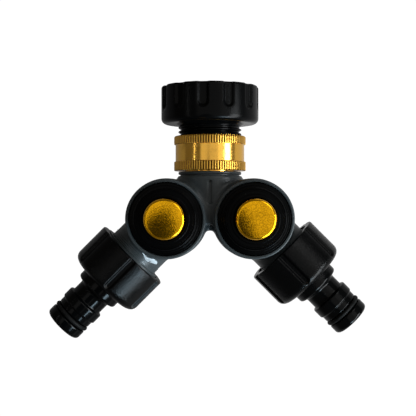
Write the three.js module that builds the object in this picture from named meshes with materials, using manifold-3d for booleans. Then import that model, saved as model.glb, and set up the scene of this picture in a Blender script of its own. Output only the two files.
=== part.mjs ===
// Two-way hose splitter: a threaded tap adapter, a brass swivel nut, and a forked body with a push-button shut-off
// valve and a quick-connect hose tail on each arm. Millimetres, +Z up towards the tap, the buttons face -Y, and the
// origin is the centre of the adapter's mouth, on the swivel axis.
import * as THREE from "three";
import { mergeVertices } from "three/addons/utils/BufferGeometryUtils.js";
import Module from "manifold-3d";

const wasm = await Module();
wasm.setup();

// ---------------------------------------------------------------------------------------------------------------
// Driving dimensions
// ---------------------------------------------------------------------------------------------------------------
const FIT = 0.3; // clearance left between neighbouring pieces
const BORE = 6.4; // radius of the water way through the adapter, the tailpiece and the arms
const THREAD = 13.0; // radius of the 3/4 inch male threads, drawn plain
const SOCKET = THREAD + FIT; // radius of the female threads that they screw into

const ROUND = 30; // facets round the collar, the nut and the casings
const MEDIUM = 20; // facets round a hose tail, a bonnet or a button
const SMALL = 14; // facets round a small inner piece

// Tap adapter, heights measured down from its mouth.
const COLLAR = { radius: 20.35, height: 15.7, edge: 1.1, bore: 16.7, depth: 12.0 };
const GRIP = { count: 12, phase: 22, width: 4.8, length: 10.5, depth: 1.2 };
const HUB = { radius: 14.3, height: 1.1 };
const ADAPTER_END = -29.0;

// Swivel nut: two gripping bands with a narrower waist, and a lip below that holds the tailpiece.
const NUT = { top: -20.8, bottom: -35.3, band: 15.0, waist: 14.4, upper: 3.5, lower: 3.8, edge: 0.4 };
const LIP = { radius: 10.6, thickness: 1.8 };
const FLAT_WASHER = 2.0; // thickness of every flat washer

// Forked body. The arms leave the swivel axis at ARM_ROOT and pass just below the valve axes.
const ARM_ROOT = -38.0;
const ARM_SLOPE = 45;
const VALVE_X = 17.8;
const VALVE_Z = -55.2;
const NECK = { top: -35.7, flange: 13.2, groove: 12.4, shoulder: -37.4, column: 13.5, bottom: -60.0 };
const NECK_SOCKET = { radius: 10.5, floor: -45.5 };
const CASING = { radius: 16.5, front: -13.8, back: 17.5, edge: 1.0 };
const RING = { outer: 16.1, inner: 14.8, front: -19.5, floor: -15.0 };
const ARM = { radius: 11.75, shoulder: 45.2, end: 54.9 };
const FEED = { radius: 2.8, from: [0, 5, -46.5], to: [12.5, 13, VALVE_Z] };
const SLOT = { width: 1.4, depth: 1.0, top: -39.5, bottom: -47.0 };

// Valve, distances along Y. The button is drawn out, which is open; pushed in by 5 mm, it puts the seal on its seat.
const BUTTON = { radius: 8.0, face: -32.2, skirt: -21.3, edge: 1.2, wall: 1.3 };
const BONNET = { thread: 13.0, end: -7.0, floor: -16.0, plate: -13.5, gland: -8.0, bezel: -25.0, bore: 8.6 };
const SHAFT = { front: -29.4, collar: 3.0, rod: 2.0, end: -0.5 };
const CHAMBER = { thread: 13.3, latch: 11.0, seal: 8.6, seat: 7.0, pocket: 8.3, ledge: 10.0, rear: 7.0, back: 15.0 };
const LATCH = { outer: 10.3, inner: 6.2, slot: 7.6, from: -9.5, to: -4.0, lugs: 4, slotWidth: 3.0, lugWidth: 2.0 };
const SEAL = { radius: 6.8, from: -0.2, to: 1.8 };
const SPRING = { radius: 5.4, wire: 0.5, turns: 5.5, from: -29.9, to: -16.5 };

// Hose tail, distances along the arm from the mouth of its nut. The left one is screwed on by two turns less.
const SEATED = { left: 45.7, right: 42.5 };
const TAIL = { nut: 16.7, straight: 14.4, shoulder: 17.5, edge: 0.7, socket: 14.8 };
const TAIL_GRIP = { count: 6, phase: { left: 8, right: 9 }, width: 2.8, length: 16.0, depth: 1.1 };
const TAIL_BORE = 4.6;

// ---------------------------------------------------------------------------------------------------------------
// Finishes
// ---------------------------------------------------------------------------------------------------------------
const finish = (color, roughness, metalness) => new THREE.MeshStandardMaterial({ color, roughness, metalness });
const blackPlastic = () => finish(0x0c0d0f, 0.32, 0);
const greyPlastic = () => finish(0x3d4144, 0.42, 0);
const whitePlastic = () => finish(0xd9d6cc, 0.5, 0);
const brass = () => finish(0xc08a2c, 0.28, 1);
const steel = () => finish(0xa9adb0, 0.3, 1);
const rubber = () => finish(0x141414, 0.8, 0);

// ---------------------------------------------------------------------------------------------------------------
// Shapes
// ---------------------------------------------------------------------------------------------------------------

// A profile of [radius, height] points turned about Y. It starts and ends on the axis, or it closes on itself.
function turned(profile, facets = SMALL) {
  const area = profile.reduce((sum, [r, h], i) => {
    const [nextR, nextH] = profile[(i + 1) % profile.length];
    return sum + r * nextH - nextR * h;
  }, 0);
  const ordered = area > 0 ? [...profile] : [...profile].reverse();
  if (ordered[0][0] > 0) ordered.push(ordered[0]);
  return new THREE.LatheGeometry(
    ordered.map(([r, h]) => new THREE.Vector2(r, h)),
    facets,
  );
}

// The same, turned about Z.
const turnedUp = (profile, facets) => turned(profile, facets).rotateX(Math.PI / 2);

// A plain tube, and a rubber ring of round section, each about Y.
const tube = (inner, outer, from, to, facets) =>
  turned([[inner, from], [outer, from], [outer, to], [inner, to]], facets);

function ringSeal(radius, section, height, facets = SMALL) {
  const sides = 6;
  const around = Array.from({ length: sides }, (_, i) => (2 * Math.PI * i) / sides);
  return turned(around.map((a) => [radius + section * Math.cos(a), height + section * Math.sin(a)]), facets);
}

// A straight round bar between two points.
function bar(radius, from, to, facets = SMALL) {
  const a = new THREE.Vector3(...from);
  const b = new THREE.Vector3(...to);
  const middle = a.clone().add(b).multiplyScalar(0.5);
  const turn = new THREE.Quaternion().setFromUnitVectors(new THREE.Vector3(0, 1, 0), b.clone().sub(a).normalize());
  return new THREE.CylinderGeometry(radius, radius, a.distanceTo(b), facets)
    .applyQuaternion(turn)
    .translate(...middle.toArray());
}

// A closed geometry as a solid that can be joined and cut, and back again.
function solid(geometry) {
  const bare = geometry.clone();
  bare.deleteAttribute("normal");
  bare.deleteAttribute("uv");
  const merged = mergeVertices(bare, 1e-4);
  const vertProperties = merged.attributes.position.array;
  const triVerts = new Uint32Array(merged.index.array);
  return new wasm.Manifold(new wasm.Mesh({ numProp: 3, vertProperties, triVerts }));
}

function geometryOf(body) {
  const mesh = body.getMesh();
  const geometry = new THREE.BufferGeometry();
  geometry.setAttribute("position", new THREE.BufferAttribute(mesh.vertProperties, 3));
  geometry.setIndex(new THREE.BufferAttribute(mesh.triVerts, 1));
  return geometry;
}

const joined = (...geometries) => geometries.map(solid).reduce((whole, piece) => whole.add(piece));
const cut = (body, ...cutters) => cutters.map(solid).reduce((rest, cutter) => rest.subtract(cutter), body);

// Cutters for the U-shaped grip grooves of a round nut: open at the mouth, z = 0, and rounded where they end.
// direction is 1 for grooves that run towards +Z and -1 for grooves that run towards -Z.
function gripCutters({ count, width, length, depth }, radius, phase, direction) {
  const past = 1;
  const arcPoints = 3;
  const half = width / 2;
  const arc = Array.from({ length: arcPoints + 1 }, (_, i) => (Math.PI * i) / arcPoints);
  const outline = new THREE.Shape([
    new THREE.Vector2(half, -direction * past),
    ...arc.map((a) => new THREE.Vector2(half * Math.cos(a), direction * (length - half + half * Math.sin(a)))),
    new THREE.Vector2(-half, -direction * past),
  ]);
  return Array.from({ length: count }, (_, i) =>
    new THREE.ExtrudeGeometry(outline, { depth: depth + past, bevelEnabled: false })
      .translate(0, 0, radius - depth)
      .rotateX(Math.PI / 2)
      .rotateZ(THREE.MathUtils.degToRad(phase + (360 * i) / count)),
  );
}

// Lugs or slots as boxes set round the Y axis.
const spokes = (count, width, reach, from, to) =>
  Array.from({ length: count }, (_, i) =>
    new THREE.BoxGeometry(width, to - from, reach)
      .translate(0, (from + to) / 2, reach / 2)
      .rotateY((2 * Math.PI * i) / count),
  );

// ---------------------------------------------------------------------------------------------------------------
// Scene graph
// ---------------------------------------------------------------------------------------------------------------
const splitter = new THREE.Group();

function place(parent, name, shape, material) {
  const geometry = shape.isBufferGeometry ? shape : geometryOf(shape);
  const mesh = new THREE.Mesh(geometry, material);
  mesh.name = name;
  parent.add(mesh);
}

// ---------------------------------------------------------------------------------------------------------------
// Inlet: adapter, nut and their washers, which stay with the tap
// ---------------------------------------------------------------------------------------------------------------
function addInlet() {
  const { radius, height, edge, bore, depth } = COLLAR;
  const collar = turnedUp(
    [
      [bore + FIT, 0],
      [radius - edge, 0],
      [radius, -edge],
      [radius, edge - height],
      [radius - edge, -height],
      [HUB.radius, -height],
      [THREAD, -height - HUB.height],
      [THREAD, ADAPTER_END + 0.6],
      [THREAD - 0.6, ADAPTER_END],
      [BORE, ADAPTER_END],
      [BORE, -depth],
      [bore, -depth],
      [bore, -FIT],
    ],
    ROUND,
  );
  const grooves = gripCutters(GRIP, radius, GRIP.phase, -1);
  place(splitter, "inlet_adapter", cut(solid(collar), ...grooves), blackPlastic());

  const washerTop = FLAT_WASHER + 0.2 - depth;
  place(
    splitter,
    "adapter_washer",
    tube(9.5, bore - FIT, 0.2 - depth, washerTop, MEDIUM).rotateX(Math.PI / 2),
    rubber(),
  );

  const upperEnd = NUT.top - NUT.upper;
  const lowerEnd = NUT.bottom + NUT.lower;
  const nut = turnedUp(
    [
      [SOCKET, NUT.top],
      [NUT.band - NUT.edge, NUT.top],
      [NUT.band, NUT.top - NUT.edge],
      [NUT.band, upperEnd + NUT.edge],
      [NUT.waist, upperEnd],
      [NUT.waist, lowerEnd],
      [NUT.band, lowerEnd - NUT.edge],
      [NUT.band, NUT.bottom + NUT.edge],
      [NUT.band - NUT.edge, NUT.bottom],
      [LIP.radius, NUT.bottom],
      [LIP.radius, NUT.bottom + LIP.thickness],
      [SOCKET, NUT.bottom + LIP.thickness],
    ],
    ROUND,
  );
  place(splitter, "swivel_nut", nut, brass());

  const nutWasherTop = ADAPTER_END - 0.2;
  place(
    splitter,
    "nut_washer",
    tube(BORE, THREAD - 0.4, nutWasherTop - FLAT_WASHER, nutWasherTop, MEDIUM).rotateX(Math.PI / 2),
    rubber(),
  );
}

// ---------------------------------------------------------------------------------------------------------------
// Tailpiece: the flanged sleeve that the nut turns on, pressed into the body's neck over a ring seal
// ---------------------------------------------------------------------------------------------------------------
function addTailpiece() {
  const lipTop = NUT.bottom + LIP.thickness;
  const flangeTop = ADAPTER_END - FLAT_WASHER - 0.4;
  const sleeve = LIP.radius - FIT;
  const seal = { radius: 9.5, section: 0.7, height: -41.5 };
  const grooveHalf = seal.section + 0.25;
  const profile = [
    [BORE, flangeTop],
    [THREAD - 0.4, flangeTop],
    [THREAD - 0.4, lipTop + 0.2],
    [sleeve, lipTop + 0.2],
    [sleeve, seal.height + grooveHalf],
    [seal.radius - seal.section - 0.2, seal.height + grooveHalf],
    [seal.radius - seal.section - 0.2, seal.height - grooveHalf],
    [sleeve, seal.height - grooveHalf],
    [sleeve, NECK_SOCKET.floor + 0.5],
    [BORE, NECK_SOCKET.floor + 0.5],
  ];
  place(splitter, "swivel_tailpiece", turnedUp(profile, MEDIUM), brass());
  place(
    splitter,
    "tailpiece_o_ring",
    ringSeal(seal.radius, seal.section, seal.height, MEDIUM).rotateX(Math.PI / 2),
    rubber(),
  );
}

// ---------------------------------------------------------------------------------------------------------------
// Forked body: neck, two round valve casings and two threaded arms, hollowed for the water way
// ---------------------------------------------------------------------------------------------------------------
const SIDES = [
  { name: "left", sign: -1 },
  { name: "right", sign: 1 },
];

// Moves a shape from an arm's own frame, with +Z along the arm, to the splitter's.
const alongArm = (geometry, sign) =>
  geometry.rotateY(sign * THREE.MathUtils.degToRad(180 - ARM_SLOPE)).translate(0, 0, ARM_ROOT);
const atValve = (geometry, sign) => geometry.translate(sign * VALVE_X, 0, VALVE_Z);

function neckOutline() {
  return turnedUp(
    [
      [0, NECK.top],
      [NECK.flange - 0.4, NECK.top],
      [NECK.flange, NECK.top - 0.4],
      [NECK.flange, -36.8],
      [NECK.groove, -36.8],
      [NECK.groove, NECK.shoulder],
      [NECK.column, NECK.shoulder],
      [NECK.column, NECK.bottom],
      [0, NECK.bottom],
    ],
    ROUND,
  );
}

function casingOutline() {
  const { radius, front, back, edge } = CASING;
  return turned(
    [
      [0, back],
      [radius - 2 * edge, back],
      [radius - edge / 2, back - edge / 2],
      [radius, back - 2 * edge],
      [radius, front + 0.8],
      [RING.outer, front],
      [RING.outer, RING.front + 0.5],
      [RING.outer - 0.4, RING.front],
      [0, RING.front],
    ],
    ROUND,
  );
}

function casingHollow() {
  const past = 1;
  return turned(
    [
      [0, RING.front - past],
      [RING.inner + 0.4, RING.front - past],
      [RING.inner + 0.4, RING.front],
      [RING.inner, RING.front + 0.5],
      [RING.inner, RING.floor],
      [CHAMBER.thread, RING.floor],
      [CHAMBER.thread, -6.5],
      [CHAMBER.latch, -6.5],
      [CHAMBER.latch, -2.5],
      [CHAMBER.seal, -2.5],
      [CHAMBER.seal, CHAMBER.seat],
      [CHAMBER.pocket, CHAMBER.seat],
      [CHAMBER.pocket, CHAMBER.ledge],
      [CHAMBER.rear, CHAMBER.ledge],
      [CHAMBER.rear, CHAMBER.back],
      [0, CHAMBER.back],
    ],
    MEDIUM,
  );
}

function armOutline() {
  return turnedUp(
    [
      [0, VALVE_X],
      [ARM.radius, VALVE_X],
      [ARM.radius, ARM.shoulder],
      [THREAD, ARM.shoulder + 0.3],
      [THREAD, ARM.end - 0.8],
      [THREAD - 0.8, ARM.end],
      [0, ARM.end],
    ],
    MEDIUM,
  );
}

function addBody() {
  const past = 2;
  const outlines = [neckOutline()];
  const hollows = [
    turnedUp(
      [
        [0, NECK.top + past],
        [NECK_SOCKET.radius, NECK.top + past],
        [NECK_SOCKET.radius, NECK_SOCKET.floor],
        [0, NECK_SOCKET.floor],
      ],
      MEDIUM,
    ),
    turnedUp([[0, NECK_SOCKET.floor + past], [BORE, NECK_SOCKET.floor + past], [BORE, -49], [0, -49]]),
    new THREE.BoxGeometry(SLOT.width, 2 * SLOT.depth, SLOT.top - SLOT.bottom).translate(
      0,
      -NECK.column,
      (SLOT.top + SLOT.bottom) / 2,
    ),
  ];
  for (const { sign } of SIDES) {
    const mirrored = ([x, y, z]) => [sign * x, y, z];
    const armBore = turnedUp([[0, 31], [BORE, 31], [BORE, ARM.end + past], [0, ARM.end + past]]);
    outlines.push(atValve(casingOutline(), sign), alongArm(armOutline(), sign));
    hollows.push(
      atValve(casingHollow(), sign),
      alongArm(armBore, sign),
      bar(FEED.radius, FEED.from, mirrored(FEED.to), 10),
    );
  }
  place(splitter, "splitter_body", cut(joined(...outlines), ...hollows), greyPlastic());
}

// ---------------------------------------------------------------------------------------------------------------
// Valve: every piece is turned about its own Y axis
// ---------------------------------------------------------------------------------------------------------------
function bonnetProfile() {
  const { thread, end, floor, plate, gland, bezel, bore } = BONNET;
  const lip = 0.6;
  const bezelRadius = 12.4;
  const flange = RING.inner - FIT;
  return [
    [bore, bezel - lip],
    [bore + 1.2, bezel - lip],
    [bore + 1.2, bezel],
    [bezelRadius - 0.5, bezel],
    [bezelRadius, bezel + 0.5],
    [bezelRadius, -21.6],
    [13.4, -21.0],
    [13.4, -19.6],
    [flange, -19.0],
    [flange, -16.6],
    [thread, -16.6],
    [thread, end],
    [10.6, end],
    [10.6, plate],
    [5.2, plate],
    [5.2, gland],
    [SHAFT.collar + 0.4, gland],
    [SHAFT.collar + 0.4, floor],
    [bore, floor],
  ];
}

function buttonProfile() {
  const { radius, face, skirt, edge, wall } = BUTTON;
  const back = face + 1.8;
  const hubEnd = -25;
  const hub = 3.6;
  const hole = 2.5;
  return [
    [0, face],
    [radius - edge, face],
    [radius - 0.3 * edge, face + 0.3 * edge],
    [radius, face + edge],
    [radius, skirt],
    [radius - wall, skirt],
    [radius - wall, back],
    [hub, back],
    [hub, hubEnd],
    [hole, hubEnd],
    [hole, SHAFT.front - FIT],
    [0, SHAFT.front - FIT],
  ];
}

function stemProfile() {
  const { front, collar, rod, end } = SHAFT;
  const screwHole = 1.5;
  return [
    [0, front],
    [rod + 0.2, front],
    [rod + 0.2, -21.5],
    [collar, -21.5],
    [collar, -15.2],
    [rod - 0.1, -15.2],
    [rod - 0.1, -13.4],
    [collar, -13.4],
    [collar, -8.2],
    [rod, -8.2],
    [rod, end],
    [screwHole, end],
    [screwHole, -5],
    [0, -5],
  ];
}

// The coil of the return spring, from the bonnet's floor to the inside of the button.
class Coil extends THREE.Curve {
  getPoint(t, target = new THREE.Vector3()) {
    const angle = 2 * Math.PI * SPRING.turns * t;
    const along = THREE.MathUtils.lerp(SPRING.from + SPRING.wire, SPRING.to - SPRING.wire, t);
    return target.set(SPRING.radius * Math.cos(angle), along, SPRING.radius * Math.sin(angle));
  }
}

function springGeometry() {
  const sides = 4;
  const stepsPerTurn = 10;
  const section = new THREE.Shape(
    Array.from({ length: sides }, (_, i) => {
      const a = (2 * Math.PI * i) / sides;
      return new THREE.Vector2(SPRING.wire * Math.cos(a), SPRING.wire * Math.sin(a));
    }),
  );
  return new THREE.ExtrudeGeometry(section, {
    steps: stepsPerTurn * SPRING.turns,
    extrudePath: new Coil(),
    bevelEnabled: false,
  });
}

// An open ring, pushed sideways into the shaft.
function clipGeometry() {
  const opening = THREE.MathUtils.degToRad(40);
  const [inner, outer, thickness] = [SHAFT.rod + 0.2, 4.2, 0.8];
  const outline = new THREE.Shape();
  outline.absarc(0, 0, outer, opening, 2 * Math.PI - opening, false);
  outline.absarc(0, 0, inner, 2 * Math.PI - opening, opening, true);
  return new THREE.ExtrudeGeometry(outline, { depth: thickness, curveSegments: 8, bevelEnabled: false })
    .rotateX(Math.PI / 2)
    .translate(0, -6.9, 0);
}

function addValve({ name, sign }) {
  const valve = new THREE.Group();
  valve.position.set(sign * VALVE_X, 0, VALVE_Z);
  splitter.add(valve);
  const add = (piece, shape, material) => place(valve, `${name}_${piece}`, shape, material);

  // Held by the body.
  add("bonnet", turned(bonnetProfile(), MEDIUM), blackPlastic());
  add("bonnet_o_ring", ringSeal(13.95, 0.5, -15.9, MEDIUM), rubber());
  add("valve_seat", tube(4.5, CHAMBER.pocket - FIT, CHAMBER.seat + 0.2, CHAMBER.ledge - FIT), brass());
  const sleeve = tube(LATCH.inner, LATCH.outer, LATCH.from, LATCH.to);
  const slots = spokes(LATCH.lugs, LATCH.slotWidth, LATCH.slot, LATCH.from - 1, LATCH.to + 1);
  add("latch_sleeve", cut(solid(sleeve), ...slots), whitePlastic());

  // Moving with the button.
  add("button_cap", turned(buttonProfile(), MEDIUM), brass());
  add("stem", turned(stemProfile()), steel());
  add("stem_o_ring", ringSeal(2.65, 0.55, -14.3), rubber());
  add("retaining_clip", clipGeometry(), steel());
  const rotorEnds = [-6.6, -3.6];
  const rotor = joined(
    turned([[0, rotorEnds[0]], [5.6, rotorEnds[0]], [5.6, rotorEnds[1]], [0, rotorEnds[1]]]),
    ...spokes(LATCH.lugs, LATCH.lugWidth, LATCH.slot - 0.4, ...rotorEnds),
  );
  add("latch_rotor", cut(rotor, bar(SHAFT.rod + FIT, [0, -8, 0], [0, -2, 0])), whitePlastic());
  add("plunger", tube(SHAFT.rod + FIT, SEAL.radius, -3.2, -0.5), blackPlastic());
  add("plunger_seal", tube(1.6, SEAL.radius - 0.2, SEAL.from, SEAL.to), rubber());
  const screw = turned([[0, -4.5], [1.2, -4.5], [1.2, 2.0], [2.6, 2.0], [2.6, 3.4], [0, 3.4]], 12);
  const driveSlot = new THREE.BoxGeometry(6, 1, 0.8).translate(0, 3.4, 0);
  add("plunger_screw", cut(solid(screw), driveSlot), steel());
  add("return_spring", springGeometry(), steel());
}

// ---------------------------------------------------------------------------------------------------------------
// Hose tail: a gripped nut, a flange and a stepped quick-connect spigot with its ring seal
// ---------------------------------------------------------------------------------------------------------------
function tailProfile() {
  const { nut, straight, shoulder, edge, socket } = TAIL;
  const shoulderArc = Array.from({ length: 4 }, (_, i) => (Math.PI / 6) * i);
  const round = shoulder - straight;
  const sealGroove = [35.0, 37.5];
  return [
    [SOCKET + 0.3, 0],
    [nut - edge, 0],
    [nut, edge],
    ...shoulderArc.map((a) => [nut - round * (1 - Math.cos(a)), straight + round * Math.sin(a)]),
    [9.8, shoulder],
    [9.8, 21.2],
    [9.4, 21.6],
    [8.0, 21.9],
    [7.3, 23.2],
    [7.3, 27.3],
    [8.55, 27.8],
    [8.55, 31.8],
    [7.95, 32.2],
    [7.95, sealGroove[0]],
    [6.45, sealGroove[0]],
    [6.45, sealGroove[1]],
    [8.25, sealGroove[1]],
    [8.35, 39.1],
    [7.95, 40.9],
    [6.95, 41.9],
    [TAIL_BORE + 0.2, 41.9],
    [TAIL_BORE, socket],
    [SOCKET, socket],
    [SOCKET, 0.3],
  ];
}

function addHoseTail({ name, sign }) {
  const outlet = new THREE.Group();
  outlet.rotation.y = sign * THREE.MathUtils.degToRad(180 - ARM_SLOPE);
  outlet.position.set(0, 0, ARM_ROOT);
  splitter.add(outlet);
  const seated = SEATED[name];
  const add = (piece, shape, material) => place(outlet, `${name}_${piece}`, shape, material);

  const grooves = gripCutters(TAIL_GRIP, TAIL.nut, sign * TAIL_GRIP.phase[name], 1);
  const body = cut(solid(turnedUp(tailProfile(), MEDIUM)), ...grooves).translate([0, 0, seated]);
  add("hose_tail", body, blackPlastic());

  const washerEnd = seated + TAIL.socket - 0.2;
  add(
    "tail_washer",
    tube(BORE, SOCKET - FIT, washerEnd - FLAT_WASHER, washerEnd).rotateX(Math.PI / 2),
    rubber(),
  );
  add("tail_o_ring", ringSeal(7.65, 0.85, seated + 36.25).rotateX(Math.PI / 2), rubber());
}

addInlet();
addTailpiece();
addBody();
SIDES.forEach(addValve);
SIDES.forEach(addHoseTail);

export default splitter;
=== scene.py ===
"""Hose splitter, seen from the side that its buttons face: the fine surfaces, finishes, light and camera.

Each piece is built in millimetres about its own axis, which is +Z, and then laid in the frame, in metres.
"""

import math

import bmesh
import bpy
import numpy as np
from bpy.props import FloatProperty, FloatVectorProperty, IntProperty, PointerProperty
from bpy.types import Operator, Panel, PropertyGroup
from mathutils import Matrix, Vector


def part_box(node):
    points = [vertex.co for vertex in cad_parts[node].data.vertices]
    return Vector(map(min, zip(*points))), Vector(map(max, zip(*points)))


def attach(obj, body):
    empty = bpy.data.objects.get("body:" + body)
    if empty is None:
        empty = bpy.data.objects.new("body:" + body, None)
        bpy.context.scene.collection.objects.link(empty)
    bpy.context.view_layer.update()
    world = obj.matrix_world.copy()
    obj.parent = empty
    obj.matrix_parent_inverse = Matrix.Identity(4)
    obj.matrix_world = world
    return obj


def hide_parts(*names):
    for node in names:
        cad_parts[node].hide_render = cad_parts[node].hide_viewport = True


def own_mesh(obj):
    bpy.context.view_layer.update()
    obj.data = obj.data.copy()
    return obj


bl_info = {
    "name": "Hose splitter",
    "version": (1, 0, 0),
    "blender": (4, 5, 0),
    "location": "View3D > Sidebar > Hose splitter",
    "description": "Builds the visible pieces of a two-way hose splitter round its packed frame",
    "category": "Object",
}

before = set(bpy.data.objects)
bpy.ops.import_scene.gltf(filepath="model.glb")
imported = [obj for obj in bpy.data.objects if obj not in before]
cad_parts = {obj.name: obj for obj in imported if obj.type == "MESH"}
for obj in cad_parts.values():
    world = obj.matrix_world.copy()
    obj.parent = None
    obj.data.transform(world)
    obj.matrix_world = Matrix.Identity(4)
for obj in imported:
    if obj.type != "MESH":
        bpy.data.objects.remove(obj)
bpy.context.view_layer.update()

# -----------------------------------------------------------------------------
# Places, from the frame
# -----------------------------------------------------------------------------
MM = 0.001
SIDES = {"left": -1, "right": 1}
ARM_TURN = math.radians(135)  # from +Z to the right arm's direction, about +Y


def middle(node):
    low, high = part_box(node)
    return (Vector(low) + Vector(high)) / 2


def span(node, axis):
    """Where a node starts and ends along an axis, in millimetres."""
    low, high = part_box(node)
    return low[axis] / MM, high[axis] / MM


VALVE_AT = {side: middle(f"{side}_button_cap") for side in SIDES}
TAIL_WASHER_AT = {side: middle(f"{side}_tail_washer") for side in SIDES}
ARM_ROOT = Vector((0, 0, TAIL_WASHER_AT["right"].z + TAIL_WASHER_AT["right"].x))
WASHER_IN_TAIL = 13.6  # from a hose tail's mouth to the middle of its washer
TAIL_MOUTH = {side: (TAIL_WASHER_AT[side] - ARM_ROOT).length / MM - WASHER_IN_TAIL for side in SIDES}

UPRIGHT = Matrix.Scale(MM, 4)


def at_valve(side):
    """Lays a piece on a valve's axis: its heights run along +Y."""
    place = Matrix.Translation((VALVE_AT[side].x, 0, VALVE_AT[side].z))
    return place @ Matrix.Rotation(-math.pi / 2, 4, "X") @ UPRIGHT


def on_arm(side):
    """Lays a piece on an arm's axis: its heights are distances from the arms' root."""
    turn = Matrix.Rotation(SIDES[side] * ARM_TURN, 4, "Y")
    return Matrix.Translation(ARM_ROOT) @ turn @ UPRIGHT


# -----------------------------------------------------------------------------
# Sizes and colours that a user may change
# -----------------------------------------------------------------------------
def length(name, description, default):
    return FloatProperty(name=name, description=description, default=default * MM, unit="LENGTH", precision=5)


def colour(name, description, default):
    limits = {"min": 0, "max": 1}
    return FloatVectorProperty(name=name, description=description, default=default, subtype="COLOR", **limits)


def count(name, description, default):
    return IntProperty(name=name, description=description, default=default)


def brightness(name, description, default):
    return FloatProperty(name=name, description=description, default=default)


class GripSizes(PropertyGroup):
    collar_count: count("Collar grooves", "Grip grooves round the tap collar", 12)
    collar_width: length("Collar groove width", "Width of a groove in the tap collar", 5.2)
    collar_length: length("Collar groove length", "From the collar's mouth to the groove's round end", 10.6)
    collar_depth: length("Collar groove depth", "Depth of a groove in the tap collar", 1.1)
    tail_count: count("Tail grooves", "Grip grooves round a hose tail's nut", 6)
    tail_width: length("Tail groove width", "Width of a groove in a hose tail's nut", 3.6)
    tail_length: length("Tail groove length", "From the nut's mouth to the groove's round end", 16.2)
    tail_depth: length("Tail groove depth", "Depth of a groove in a hose tail's nut", 1.1)


class ThreadSizes(PropertyGroup):
    male_pitch: length("Male pitch", "Distance between crests of the 3/4 inch threads", 1.814)
    male_depth: length("Male depth", "Height of the 3/4 inch threads", 1.1)
    tap_pitch: length("Tap pitch", "Distance between crests of the tap thread", 2.309)
    tap_depth: length("Tap depth", "Height of the tap thread", 1.4)


class KnurlSizes(PropertyGroup):
    teeth: count("Teeth", "Teeth round each gripping band of the nut", 86)
    depth: length("Depth", "Depth of the cuts between teeth", 0.4)


class Colours(PropertyGroup):
    black: colour("Black", "Glossy plastic of the adapter, bonnets and hose tails", (0.0008, 0.0009, 0.001))
    grey: colour("Grey", "Satin plastic of the forked body", (0.025, 0.030, 0.032))
    brass: colour("Brass", "Turned brass of the swivel nut", (0.88, 0.49, 0.08))
    gold: colour("Gold", "Satin brass of the buttons", (0.95, 0.48, 0.008))
    steel: colour("Steel", "Stem, clip, screw and spring", (0.62, 0.63, 0.64))
    rubber: colour("Rubber", "Washers and ring seals", (0.003, 0.003, 0.003))
    acetal: colour("Acetal", "Latch sleeve and rotor", (0.74, 0.72, 0.64))
    ink: colour("Ink", "Printed flow mark", (0.24, 0.27, 0.29))


class SplitterSettings(PropertyGroup):
    grips: PointerProperty(type=GripSizes)
    threads: PointerProperty(type=ThreadSizes)
    knurl: PointerProperty(type=KnurlSizes)
    colours: PointerProperty(type=Colours)


def settings():
    return bpy.context.scene.hose_splitter


# -----------------------------------------------------------------------------
# Node trees written as arithmetic
# -----------------------------------------------------------------------------
class Term:
    """A socket that takes part in arithmetic: each operator adds the Math node that works it out."""

    def __init__(self, graph, socket):
        self.graph = graph
        self.socket = socket

    def math(self, operation, *others):
        values = dict(enumerate((self, *others)))
        return self.graph.node("ShaderNodeMath", {"operation": operation}, values)

    def __add__(self, other):
        return self.math("ADD", other)

    def __sub__(self, other):
        return self.math("SUBTRACT", other)

    def __rsub__(self, other):
        return (self * -1) + other

    def __mul__(self, other):
        return self.math("MULTIPLY", other)

    def __truediv__(self, other):
        return self.math("DIVIDE", other)

    def __rtruediv__(self, other):
        return self ** -1 * other

    def __pow__(self, other):
        return self.math("POWER", other)

    def __abs__(self):
        return self.math("ABSOLUTE")

    __radd__ = __add__
    __rmul__ = __mul__

    def step(self, low, high):
        """0 below low, 1 above high, and a smooth rise between them."""
        inputs = {"Value": self, "From Min": low, "From Max": high}
        return self.graph.node("ShaderNodeMapRange", {"interpolation_type": "SMOOTHSTEP"}, inputs)


class Graph:
    """A node tree with one way to add a node."""

    def __init__(self, tree):
        self.tree = tree

    def node(self, kind, options=None, inputs=None, output=0):
        made = self.tree.nodes.new(kind)
        for name, value in (options or {}).items():
            if name == "stops":
                self.set_stops(made.color_ramp, value)
            else:
                setattr(made, name, value)
        for key, value in (inputs or {}).items():
            if isinstance(value, Term):
                self.tree.links.new(value.socket, made.inputs[key])
            else:
                made.inputs[key].default_value = value
        return Term(self, made.outputs[output]) if made.outputs else None

    def parts(self, vector):
        """The x, y and z of a vector."""
        split = self.node("ShaderNodeSeparateXYZ", inputs={0: vector}).socket.node
        return [Term(self, out) for out in split.outputs]

    @staticmethod
    def set_stops(ramp, stops):
        for place, shade in stops[2:]:
            ramp.elements.new(place)
        for element, (place, shade) in zip(ramp.elements, stops):
            element.position = place
            element.color = (shade, shade, shade, 1) if isinstance(shade, float) else (*shade, 1)


# -----------------------------------------------------------------------------
# Finishes
# -----------------------------------------------------------------------------
def rgba(shade, gain=1.0):
    return (*[min(1.0, channel * gain) for channel in shade], 1)


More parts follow.
